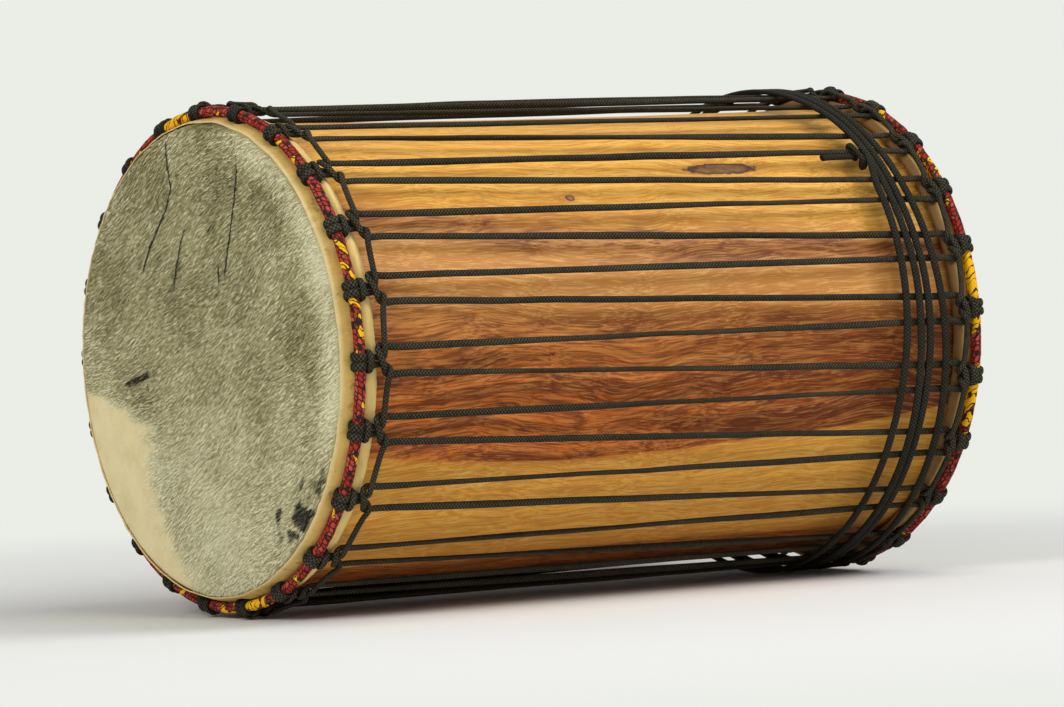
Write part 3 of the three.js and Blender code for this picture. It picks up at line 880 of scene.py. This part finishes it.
def build_binding(side, end):
    """A strip of cloth wound slantwise round the crown ring, each turn lapping the last"""
    angle, turn = steps_round(CLOTH_STEPS), steps_round(SECTION_STEPS)[:, None]
    lap = (CLOTH_TURNS * angle / TURN - turn / TURN) % 1
    outer = CLOTH_TUBE - CLOTH_LAP + CLOTH_LAP * lap**3
    outer = outer + 0.1 * ripple(angle, turn * 3, 71 + end, 16, 160, 1.0)
    outer = outer - 0.3 * near_hitch(end, angle, 9)
    inner = np.maximum(outer - CLOTH_THICKNESS, CROWN_ROD + 0.02)
    skin, lining = (
        tube_places(end, CROWN_DEPTH, CROWN_RADIUS, reach, turn, angle) for reach in (outer, inner)
    )
    faces = flip(grid_faces(SECTION_STEPS, CLOTH_STEPS, True, True), end < 0)
    points, faces = np.vstack([skin, lining]), np.vstack([faces, flip(faces) + len(skin)])
    piece = add_piece(f"{side}_cloth_binding", points, faces, cotton)

    run = np.append(angle, TURN) * CROWN_RADIUS * MM
    wrap = np.append(turn, TURN) * CLOTH_TUBE * MM
    corners = flip(grid_faces(SECTION_STEPS + 1, CLOTH_STEPS + 1), end < 0)
    lay_flat(piece, "cloth_lay", run, wrap, corners, flip(corners))
    gold = np.zeros_like(angle)
    for degrees, spread, amount in GOLD[side]:
        away = turned_away(angle, math.radians(degrees))
        gold = np.maximum(gold, amount * np.exp(-((away / math.radians(spread)) ** 2)))
    set_attribute(piece, "gold", np.broadcast_to(gold, (2 * SECTION_STEPS, CLOTH_STEPS)))
    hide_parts(f"{side}_ring_cloth")


# Hair


def on_skin(end, across, level, lift):
    """Places on the head by its own plane, carried over the shoulder, and lifted off the skin"""
    radius = np.hypot(across, level)
    over = np.clip((radius - EDGE_RADIUS) / SKIN_OUTSIDE, 0, np.pi / 2)
    down = np.clip(radius - EDGE_RADIUS - SKIN_OUTSIDE * np.pi / 2, 0, None)
    over_edge = EDGE_RADIUS + (SKIN_OUTSIDE + lift) * np.sin(over)
    reach = np.where(radius < EDGE_RADIUS, radius, over_edge)
    depth = EDGE_ROUND - (SKIN_OUTSIDE + lift) * np.cos(over) + down
    share = reach / np.maximum(radius, 1)
    points = np.stack([end_along(end, depth), across * share, level * share], axis=-1) * MM
    return points + (0, 0, AXIS_HEIGHT)


# Black marks in the coat of the playing head, as places (across, level) on it
DARK_LINES = [
    [(50, 190), (48, 168), (43, 146), (56, 125), (82, 96), (92, 78)],
    [(-62, 168), (-58, 144), (-51, 119), (-43, 94), (-36, 70)],
    [(-18, 117), (-13, 108)],
    [(23, 114), (30, 103), (38, 82), (44, 64)],
    [(-26, 82), (-28, 66)],
]
DARK_STROKES = [
    # from (across, level) to (across, level), width, strength
    ((-22, 114), (-13, 108), 2.0, 0.6),
    ((36, 84), (46, 62), 4.0, 0.5),
    ((126, -21), (93, -13), 4.5, 1.0),
    ((0, 36), (12, 10), 4.0, 0.35),
    ((-138, -125), (-140, -136), 12.0, 1.0),
    ((-136, -124), (-146, -126), 7.0, 1.0),
    ((-132, -132), (-146, -132), 9.0, 1.0),
    ((-148, -129), (-155, -127), 5.0, 1.0),
    ((-122, -144), (-132, -146), 5.0, 0.95),
    ((-123, -144), (-123, -150), 4.0, 0.8),
    ((-108, -127), (-104, -133), 5.0, 1.0),
    ((-104, -134), (-107, -144), 2.0, 0.6),
    ((-107, -144), (-110, -151), 2.6, 0.8),
    ((-144, -100), (-142, -106), 4.0, 0.9),
    ((-175, -90), (-172, -99), 2.6, 0.7),
    ((-172, -99), (-165, -109), 3.0, 0.9),
    ((-163, -102), (-162, -105), 3.0, 0.6),
]


def darkness(spots, rng):
    """How much each hair belongs to the dark strokes, which fray at their edges"""
    total = np.zeros(len(spots))
    for start, stop, width, strength in DARK_STROKES:
        start, stop = np.array(start, float), np.array(stop, float)
        line = stop - start
        share = np.clip(((spots - start) @ line) / (line @ line), 0, 1)
        away = np.linalg.norm(spots - start - share[:, None] * line, axis=1)
        near = np.clip(3.6 - 3 * away / (width / 2 + rng.uniform(0, 1.0, len(away))), 0, 1)
        total = np.maximum(total, strength * near)
    return total


def heading_of(flow):
    return np.stack([np.cos(flow), np.sin(flow)], axis=-1)


def coat_hairs(end, rng):
    """Short hairs over a whole head, thinner by the bare patch, with an array for each trait"""
    index = np.arange(HAIR_COUNT) + 0.5
    radius = (HAIR_LINE - 1.5) * np.sqrt(index / HAIR_COUNT)
    angle = index * math.pi * (3 - math.sqrt(5))
    across = radius * np.sin(angle) + rng.normal(0, 0.9, HAIR_COUNT)
    level = radius * np.cos(angle) + rng.normal(0, 0.9, HAIR_COUNT)
    keep = np.hypot(across, level) < HAIR_LINE - 0.5
    bare = bareness(across, level, HAIR_THINNING) if end < 0 else np.zeros(HAIR_COUNT)
    keep &= rng.uniform(0, 1, HAIR_COUNT) > bare * 1.1 - 0.1
    across, level, bare = across[keep], level[keep], bare[keep]
    count = len(across)

    by_side = np.clip((across - 40) / 120, 0, 1) * np.clip((90 - level) / 80, 0, 1)
    swirl = 6 * np.sin(across * 0.031 + level * 0.017)
    swirl = swirl + 5 * np.sin(level * 0.045 - across * 0.021)
    hairs = {
        "spot": np.stack([across, level], axis=-1),
        "flow": np.radians(HAIR_FLOW + SIDE_FLOW * by_side + swirl + rng.normal(0, 8, count)),
        "length": rng.uniform(*HAIR_LENGTH, count) * (1 - 0.35 * bare),
        "width": rng.uniform(*HAIR_WIDTH, count),
        "lean": rng.normal(0, 0.5, count),
        "lift": rng.uniform(*HAIR_LIFT, count),
        "bend": rng.normal(0, 0.06, count),
    }
    tufts = np.sin(across * 2.6 + 2.3 * np.sin(level * 0.9))
    tufts = tufts * np.sin(level * 2.3 + 2.1 * np.sin(across * 1.1))
    tone = np.clip(0.5 + 0.2 * tufts + rng.normal(0, 0.33, count), 0, 1)
    pale, dark = np.clip(bare * 1.2, 0, 0.85), np.zeros(count)
    if end < 0:
        nearby = np.clip(past_bare_edge(across, level) / 60 + 1, 0, 1)
        pale = np.clip(pale + 0.4 * nearby**2, 0, 0.85)
        middle = hairs["spot"] + heading_of(hairs["flow"]) * (0.45 * hairs["length"])[:, None]
        dark = darkness(middle, rng)
    hairs["lift"] = hairs["lift"] * (0.7 + 0.6 * tone) + 0.7 * dark
    return hairs | {"tone": tone, "pale": pale, "dark": dark}


def line_hairs(line, rng):
    """Dark hairs one behind another along a line on the playing head"""
    line = np.array(line, float)
    run = np.append(0, np.cumsum(np.linalg.norm(np.diff(line, axis=0), axis=1)))
    start = np.arange(0, run[-1] - 4, 0.8)
    spot, ahead = (
        np.stack([np.interp(at, run, line[:, axis]) for axis in (0, 1)], axis=-1)
        for at in (start, start + 6)
    )
    count = len(start)
    hairs = {
        "flow": np.arctan2(*(ahead - spot).T[::-1]) + rng.normal(0, 0.10, count),
        "spot": spot + rng.normal(0, 0.35, spot.shape),
        "length": rng.uniform(*LINE_LENGTH, count),
        "width": rng.uniform(*LINE_WIDTH, count),
        "lean": rng.normal(0, 0.3, count),
        "lift": rng.uniform(*LINE_LIFT, count),
        "dark": rng.uniform(0.75, 1.0, count),
    }
    return hairs | {name: np.zeros(count) for name in ("bend", "tone", "pale")}


def build_hair(side, end):
    """Each hair is a narrow blade of two faces, rising from the skin and bending over"""
    rng = np.random.default_rng(HAIR_SEED + end)
    hairs = [coat_hairs(end, rng)]
    if end < 0:
        hairs += [line_hairs(line, rng) for line in DARK_LINES]
    hairs = {name: np.concatenate([part[name] for part in hairs]) for name in hairs[0]}
    length, width, lean, flow = (hairs[name] for name in ("length", "width", "lean", "flow"))
    heading = heading_of(flow)
    sideways = np.stack([-np.sin(flow), np.cos(flow)], axis=-1)
    rows = []
    for share, breadth, height in ((0.0, 0.8, 0.05), (0.5, 1.0, 0.75), (1.0, 0.12, 0.85)):
        middle = hairs["spot"] + heading * (share * length)[:, None]
        middle = middle + sideways * (hairs["bend"] * share**2 * length)[:, None]
        for hand in (-0.5, 0.5):
            half = hand * breadth * width
            across, level = (middle + sideways * (half * np.cos(lean))[:, None]).T
            rise = hairs["lift"] * height + half * np.sin(lean)
            rows.append(on_skin(end, across, level, np.maximum(rise, 0.02)))
    points = np.stack(rows, axis=1).reshape(-1, 3)
    first = (np.arange(len(length)) * 6)[:, None]
    faces = flip(np.vstack([first + [0, 1, 3, 2], first + [2, 3, 5, 4]]), end < 0)
    piece = add_piece(f"{side}_hair", points, faces, hair)
    for name in ("tone", "pale", "dark"):
        set_attribute(piece, name, np.repeat(hairs[name], 6))


# Ropes


def hitch_angle(end, index):
    """Hand tied, so each hitch strays a little from an even spacing"""
    shift = REAR_SHIFT if end > 0 else 0.0
    stray = (REAR_STRAY if end > 0 else FRONT_STRAY)[index % HITCHES]
    return math.pi + HITCH_PITCH * (index + shift - HITCHES / 2 + 0.5) + math.radians(stray)


def at_hitch(end, index, rows):
    """Route rows from [width, depth, radius, lean in width, depth and radius, half width, half
    thickness] at a hitch to [place in mm, lean, half width, half thickness]. The rear hitches are
    the front ones turned half round, so their widths run the other way."""
    rows = np.asarray(rows, float)
    hand = -end
    angle = hitch_angle(end, index) + hand * rows[:, 0] / rows[:, 2]
    places = on_drum(end_along(end, rows[:, 1]), rows[:, 2], angle) / MM
    outward = np.stack([0 * angle, -np.sin(angle), np.cos(angle)], axis=-1)
    widthways = hand * np.stack([0 * angle, -np.cos(angle), -np.sin(angle)], axis=-1)
    inward = np.array([-end, 0.0, 0.0])
    lean = rows[:, 3:4] * widthways + rows[:, 4:5] * inward + rows[:, 5:6] * outward
    return np.hstack([places, lean, rows[:, 6:8]])


def smoothed(rows, steps, closed):
    """A smooth curve through the rows of a route, with as many steps between each two"""
    count = len(rows)
    spans = count if closed else count - 1
    k = np.arange(spans)
    if closed:
        picks = [rows[(k + shift) % count] for shift in (-1, 0, 1, 2)]
    else:
        padded = np.vstack([2 * rows[:1] - rows[1:2], rows, 2 * rows[-1:] - rows[-2:-1]])
        picks = [padded[k + shift] for shift in (0, 1, 2, 3)]
    gaps = []
    for here, there in zip(picks, picks[1:]):
        gaps.append(np.sqrt(np.linalg.norm(there[:, :3] - here[:, :3], axis=1)) + 1e-6)
    a = np.zeros((spans, 1))
    b, c, d = np.cumsum(gaps, axis=0)[..., None]
    made = []
    for step in range(steps):
        t = b + (c - b) * step / steps
        first = ((b - t) * picks[0] + (t - a) * picks[1]) / (b - a)
        second = ((c - t) * picks[1] + (t - b) * picks[2]) / (c - b)
        third = ((d - t) * picks[2] + (t - c) * picks[3]) / (d - c)
        left = ((c - t) * first + (t - a) * second) / (c - a)
        right = ((d - t) * second + (t - b) * third) / (d - b)
        made.append(((c - t) * left + (t - b) * right) / (c - b))
    curve = np.stack(made, axis=1).reshape(-1, rows.shape[1])
    return curve if closed else np.vstack([curve, rows[-1:]])


def build_rope(name, rows, closed, sides, material, stands_for):
    """A rope along a fine route, laid out in a UV map: once round it, and metres along it"""
    places, lean = rows[:, :3] * MM, rows[:, 3:6]
    if closed:
        ahead, behind = np.roll(places, -1, axis=0), np.roll(places, 1, axis=0)
    else:
        ahead, behind = np.vstack([places[1:], places[-1:]]), np.vstack([places[:1], places[:-1]])
    heading = unit(ahead - behind)
    up = unit(lean - heading * np.sum(lean * heading, axis=1, keepdims=True))
    across = np.cross(heading, up)
    around = steps_round(sides)
    wide, thick = rows[:, 6:7] * MM, rows[:, 7:8] * MM
    ring = places[:, None] + (wide * np.cos(around))[..., None] * across[:, None]
    ring = ring + (thick * np.sin(around))[..., None] * up[:, None]
    faces = list(flip(grid_faces(len(rows), sides, closed, True)))
    if not closed:
        faces += [np.arange(sides), (len(rows) - 1) * sides + np.arange(sides)[::-1]]
    piece = add_piece(name, ring.reshape(-1, 3), faces, material)
    run = np.append(0, np.cumsum(np.linalg.norm(np.diff(places, axis=0), axis=1)))
    if closed:
        run = np.append(run, run[-1] + np.linalg.norm(places[0] - places[-1]))
    corners = flip(grid_faces(len(run), sides + 1))
    lay_flat(piece, "rope_lay", np.linspace(0, 1, sides + 1), run, corners)
    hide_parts(stands_for)


def round_crown(width, degrees, half_width, half_thick):
    """A row where the cradle rope lies on the cloth, at some degrees round the crown ring"""
    reach = CLOTH_TUBE - 0.4 + half_thick
    inward, outward = math.cos(math.radians(degrees)), math.sin(math.radians(degrees))
    place = [width, CROWN_DEPTH + reach * inward, CROWN_RADIUS + reach * outward]
    return [*place, 0, inward, outward, half_width, half_thick]


def mirrored(rows):
    return [[-width, depth, radius, -lean, *rest] for width, depth, radius, lean, *rest in rows]


# At the rear head the junctions of cradle and lacing are drawn closer to the crown ring, and the
# parts that lie outermost a little more
REAR_DRAW, REAR_MORE_DRAW = 5.0, 1.5


def drawn_in(end, rows):
    if end < 0:
        return rows
    rows = np.array(rows, float)
    width, depth = np.abs(rows[:, 0]), rows[:, 1]
    more = REAR_MORE_DRAW * np.clip((width - 7) / 9, 0, 1) * (rows[:, 2] > 217.9)
    share = np.clip((depth - 25) / 5, 0, 1) * np.clip((50 - depth) / 8, 0, 1)
    rows[:, 1] -= share * (REAR_DRAW + more)
    return rows


def hitch_rows():
    """One cow hitch: in over a lacing strand, under the bight, over and round the crown ring, up
    between the rings, across its own legs, and the same way back"""
    run = [0, 0, 1, 2.7, 2.1]
    come_in = [
        [-17.0, 35.4, 218.2, *run],
        [-12.0, 35.0, 218.7, *run],
        [-7.6, 35.6, 218.2, 0, 0.3, 1, 2.6, 2.1],
        [-4.6, 36.6, 216.0, 0, 0.6, 1, 2.5, 2.0],
        [-2.8, 36.6, 213.4, 0, 0.8, 0.6, 2.4, 2.0],
        [-2.6, 33.8, 212.6, 0, 0, 1, 2.5, 1.9],
    ]
    neck = [
        [3.0, 29.4, 212.9, 0, 0, 1, 2.7, 1.8],
        [3.4, 24.0, 214.9, 0, 0.4, 1, 3.0, 1.6],
    ]
    wrap = [
        *((3.6, 55, 3.2, 1.5), (3.7, 80, 3.5, 1.6), (3.7, 105, 3.7, 1.75), (3.7, 130, 3.7, 1.8)),
        *((3.7, 155, 3.7, 1.8), (3.7, 180, 3.7, 1.8), (3.9, 205, 3.6, 1.8), (4.6, 232, 3.3, 1.8)),
        *((5.8, 260, 2.9, 1.8), (7.0, 290, 2.6, 1.9)),
    ]
    wrap = [round_crown(*row) for row in wrap]
    bar = [
        [7.9, 20.6, 208.6, 0.9, 0.4, 0, 2.4, 1.9],
        [8.3, 21.4, 212.2, 0.95, 0.2, 0.2, 2.5, 1.9],
        [7.9, 21.0, 215.6, 0.85, 0.2, 0.5, 2.8, 1.9],
        [6.2, 20.2, 218.3, 0.45, 0.35, 0.8, 3.3, 1.9],
        [3.2, 19.7, 219.8, 0.15, 0.4, 0.9, 3.6, 1.9],
    ]
    top = [[0, 19.6, 220.1, 0, 0.4, 0.9, 3.7, 1.9]]
    go_out = [
        [2.6, 33.6, 212.6, 0, 0, 1, 2.5, 1.9],
        [3.0, 37.0, 212.8, 0, 0.3, 1, 2.4, 2.0],
        [4.4, 40.0, 214.8, 0, 0.6, 0.8, 2.5, 2.0],
        [7.6, 40.6, 218.3, 0, 0.2, 1, 2.6, 2.1],
        [11.6, 39.2, 219.1, *run],
        [17.0, 37.9, 218.2, *run],
    ]
    leg = neck + wrap + bar
    return come_in + mirrored(leg) + top + leg[::-1] + go_out


def build_cradle(side, end):
    order = range(HITCHES) if end < 0 else range(HITCHES - 1, -1, -1)
    rows = np.vstack([at_hitch(end, index, drawn_in(end, hitch_rows())) for index in order])
    rows = smoothed(rows, steps=4, closed=True)
    build_rope(f"{side}_cradle", rows, True, CRADLE_SIDES, cradle_braid, f"{side}_cradle_rope")


# One bight of the lacing round the neck of a hitch, as (width, depth, radius)
BIGHT = [
    (-10.9, 56.0, 213.2),
    (-11.2, 46.0, 213.2),
    (-12.2, 37.4, 213.2),
    (-12.4, 33.4, 213.8),
    (-10.8, 30.7, 215.2),
    (-7.2, 30.4, 216.8),
    (-2.8, 31.8, 217.5),
    (2.0, 33.6, 217.4),
    (6.2, 35.2, 216.5),
    (9.6, 37.6, 214.8),
    (11.4, 42.0, 213.4),
    (11.1, 56.0, 213.2),
]


def build_lacing():
    """A closed zigzag of rope, its flat braid turning a little along each strand"""
    rng = np.random.default_rng(11)
    bight = [[*place, 0, 0, 1, STRAND_WIDE, STRAND_THICK] for place in BIGHT]
    strand_points = 10
    share = np.arange(1, strand_points + 1)[:, None] / (strand_points + 1)
    stops = []
    for index in range(HITCHES):
        stops += [at_hitch(-1, index, bight), at_hitch(1, index, drawn_in(1, bight[::-1]))]
    route = []
    for here, following in zip(stops, stops[1:] + stops[:1]):
        strand = here[-1] + (following[0] - here[-1]) * share
        outward = outward_from_axis(strand[:, :3])
        sideways = np.cross((1.0, 0, 0), outward)
        twist = rng.uniform(-1.6, 1.6) * np.sin(math.pi * share)
        twist = twist + rng.uniform(-0.8, 0.8) * np.sin(TURN * share)
        strand[:, 3:6] = outward * np.cos(twist) + sideways * np.sin(twist)
        stray = outward * rng.normal(0, 0.12, share.shape)
        strand[:, :3] += stray + sideways * rng.normal(0, 0.2, share.shape)
        strand[:, 6:7] += 0.15 * np.sin(TURN * share * 1.5 + rng.uniform(0, 6))
        route += [here, strand]
    rows = smoothed(np.vstack(route), steps=5, closed=True)
    build_rope("lacing", rows, True, LACING_SIDES, lacing_braid, "lacing_rope")


def strand_at(index, along):
    """Radius and angle of the strand on the upper side of a front hitch"""
    front = hitch_angle(-1, index) - STRAND_BESIDE / STRAND_RADIUS
    rear = hitch_angle(1, index - 1) + STRAND_BESIDE / STRAND_RADIUS
    reach = SHELL_HALF - BIGHT[0][1]
    share = (along + reach) / (2 * reach)
    return STRAND_RADIUS, front + (rear - front) * share


# The turns of the surplus rope as (degrees in all, along): bunched on top and fanned out below
WINDING = [
    *((53, 254), (66, 252), (78, 250), (90, 247.5), (111, 242), (132, 241), (150, 242), (180, 243)),
    *((215, 244.5), (260, 247), (310, 249.5), (345, 251.5), (377, 255.5), (390, 261), (406, 263)),
    *((420, 262), (435, 264.5), (450, 263), (471, 263.5), (510, 264.5), (560, 265), (640, 264.5)),
    *((700, 264.5), (738, 267), (752, 270), (768, 271), (781, 271), (793, 274), (810, 274)),
    *((832, 271), (861, 271.5), (920, 273), (1000, 273), (1060, 272), (1098, 274), (1119, 280)),
    *((1131, 281.5), (1147, 286), (1170, 291), (1192, 293.5), (1213, 296), (1231, 299)),
    *((1262, 301), (1300, 299), (1330, 297)),
]
# Tail, half hitch and tucked end, as (round, along, outward) from their strands
HALF_HITCH = [
    *((6.9, -35, -0.3), (6.6, -26, 0), (6.4, -12, 0), (6.3, 1.5, -0.2), (5.2, 6, -2.5)),
    *((0.5, 8, -5.4), (-4.4, 6.5, -4), (-6.2, 4, 0.4), (-4.3, 2, 3.9), (0.6, 1.5, 5.3)),
    *((6.4, 2.2, 5.5),),
    *((12.0, 3.8, 4.9), (15.8, 6.0, 2.6), (17.4, 8.0, -1.0), (15.8, 9.0, -4.3), (12.4, 9.6, -4.6)),
    *((9.6, 10.2, -1.6), (10.2, 10.6, 2.8), (14.8, 10.6, 5.3), (24, 9.0, 4.9)),
]
TUCK = [(-5.6, 0, 1.5), (-2.8, 0, -5.4), (11, 0, -5.4)]
# The rows from the half hitch on that lean away from its middle
KNOT_ROWS, KNOT_MIDDLE = range(4, 18), (6, 0, 0)


def build_winding():
    """Tail and half hitch on one strand, turns round all the strands, and an end tucked behind"""
    tuck_along = WINDING[-1][1]
    knot, tuck = strand_at(KNOT_STRAND, KNOT_ALONG), strand_at(TUCK_STRAND, tuck_along)

    def near(offsets, middle, strand):
        width, along, lift = np.array(offsets, float).T
        radius = strand[0] + lift
        return on_drum(middle + along, radius, strand[1] + width / radius) / MM

    degrees, along = np.array(WINDING, float).T
    turns = np.arange(degrees[0], degrees[-1] + 1, 7.5)
    along = np.interp(turns, degrees, along)
    along = np.convolve(np.pad(along, 1, "edge"), (0.25, 0.5, 0.25), "valid")
    loops = on_drum(along, WINDING_RADIUS, np.radians(turns)) / MM
    knotted = near(HALF_HITCH, KNOT_ALONG, knot)
    places = np.vstack([knotted, loops, near(TUCK, tuck_along, tuck)])
    lean = outward_from_axis(places)
    lean[KNOT_ROWS] = unit(places[KNOT_ROWS] - near([KNOT_MIDDLE], KNOT_ALONG, knot))
    size = np.tile((WINDING_WIDE, WINDING_THICK), (len(places), 1))
    size[: len(knotted)] = KNOT_WIDE, KNOT_THICK
    rows = smoothed(np.hstack([places, lean, size]), steps=3, closed=False)
    build_rope("surplus_winding", rows, False, LACING_SIDES, winding_braid, "surplus_rope")


# Stage


# The photograph's view, as fitted to the rings
CAMERA_PLACE = (-3.0371, -4.2197, AXIS_HEIGHT + 0.1251)
CAMERA_FORWARD = (0.5835, 0.8117, -0.0258)
CAMERA_UP = (0.0441, 0.0, 0.9990)
CAMERA_SENSOR, CAMERA_LENS, CAMERA_REACH = 36.0, 198.44, 100.0

# Softboxes as (name, place, width, watts), and the place that they face
LAMPS = [
    ("key_softbox", (2.5, -2.6, 3.0), 2.4, 106.0),
    ("head_softbox", (-3.7, -1.7, 2.0), 1.8, 94.0),
    ("top_softbox", (0.2, -0.9, 3.4), 1.6, 24.0),
]
LAMP_TARGET = (0, 0, 0.2)

# Rims of the floor's disc in metres from the middle, and where it fades into the backdrop
FLOOR_RIMS = (0.05, 0.6, 1.5, 3.0, 6.0, 14.0)
FLOOR_STEPS = 96
FLOOR_FADE = (0.5, 1.45)


def build_camera():
    forward = unit(np.array(CAMERA_FORWARD))
    right = unit(np.cross(forward, CAMERA_UP))
    data = bpy.data.cameras.new("photo_camera")
    data.sensor_width = CAMERA_SENSOR
    data.lens = CAMERA_LENS
    data.clip_end = CAMERA_REACH
    camera = link_object("photo_camera", data)
    axes = np.stack([right, np.cross(right, forward), -forward, CAMERA_PLACE], axis=-1)
    camera.matrix_world = Matrix([*axes.tolist(), (0, 0, 0, 1)])
    bpy.context.scene.camera = camera


def build_lamp(name, place, width, watts):
    data = bpy.data.lights.new(name, "AREA")
    data.shape = "DISK"
    data.size = width
    data.energy = watts
    facing = (Vector(LAMP_TARGET) - Vector(place)).to_track_quat("-Z", "Y")
    lamp = link_object(name, data)
    lamp.matrix_world = Matrix.Translation(place) @ facing.to_matrix().to_4x4()


def build_world():
    """A soft fill light, which the camera and reflections see as the pale backdrop"""
    world = bpy.data.worlds.new("studio")
    bpy.context.scene.world = world
    world.use_nodes = True
    tree = Tree(world.node_tree)
    rays = tree.add("ShaderNodeLightPath").outputs
    seen = [rays[f"Is {kind} Ray"] for kind in ("Camera", "Glossy", "Transmission")]
    sky = tree.mix(tree.plus(*seen, clamp=True), WORLD_FILL, BACKDROP)
    tree.put(tree.find("BACKGROUND").inputs["Color"], sky)


def floor_material():
    material, tree, shader = new_material("pale_floor", roughness=0.9, specular_ior_level=0.1)
    x, y, _ = tree.split(tree.place())
    specks = tree.group(mottle, patch_scale=2.0, speck_scale=220.0)["Specks"]
    tree.put(shader["Base Color"], tree.mix(specks, FLOOR_DARK, FLOOR_PALE))
    glow = tree.add("ShaderNodeEmission", {"Color": BACKDROP})
    matt, output = tree.find("BSDF_PRINCIPLED"), tree.find("OUTPUT_MATERIAL")
    layers = (tree.span(tree.length(x, y), *FLOOR_FADE), matt.outputs[0], glow.outputs[0])
    blend = tree.add("ShaderNodeMixShader", dict(enumerate(layers)))
    tree.put(output.inputs["Surface"], blend.outputs[0])
    return material


def build_floor():
    angle, rims = steps_round(FLOOR_STEPS), np.array(FLOOR_RIMS)[:, None]
    points = np.stack([rims * np.cos(angle), rims * np.sin(angle), 0 * rims * angle], axis=-1)
    faces = list(flip(grid_faces(len(FLOOR_RIMS), FLOOR_STEPS, False, True)))
    faces.append(range(FLOOR_STEPS))
    floor = mesh_object("pale_floor", points.reshape(-1, 3), faces, floor_material())


build_camera()
build_shell()
for side, end in ENDS.items():
    build_skin(side, end)
    build_rings(side, end)
    build_binding(side, end)
    build_hair(side, end)
    build_cradle(side, end)
build_lacing()
build_winding()
build_world()
build_floor()
for lamp in LAMPS:
    build_lamp(*lamp)
bpy.context.scene.view_settings.view_transform = "Standard"
